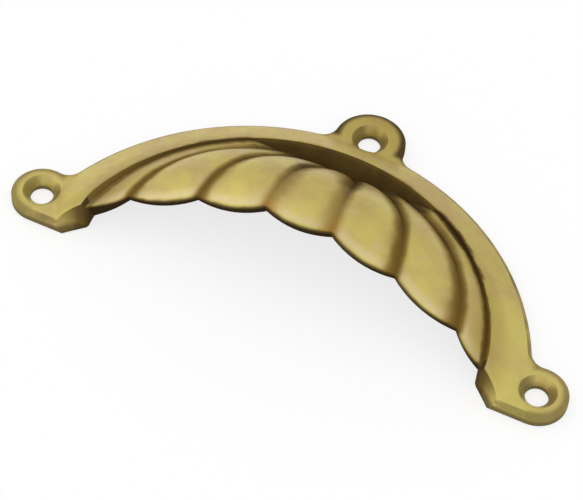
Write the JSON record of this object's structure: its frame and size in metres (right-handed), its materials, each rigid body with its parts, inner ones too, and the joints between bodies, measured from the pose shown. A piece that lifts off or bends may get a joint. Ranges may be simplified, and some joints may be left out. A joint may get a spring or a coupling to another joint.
{
  "type": "drawer pull",
  "caption": "Cast cup pull for a drawer: a hollow fluted shell with a scalloped lip inside an arched rim with countersunk screw ears.",
  "frame": {"origin": "midway between the two foot screw holes, on the flat back", "axes": "+X along the pull's length, +Y from the mouth towards the top ear, +Z out of the drawer front"},
  "size_m": [0.107, 0.0502, 0.0188],
  "materials": {
    "satin_brass": "satin cast brass, darkened in the grooves"
  },
  "bodies": {
    "root": {"drawer_pull": "satin_brass"}
  },
  "joints": []
}
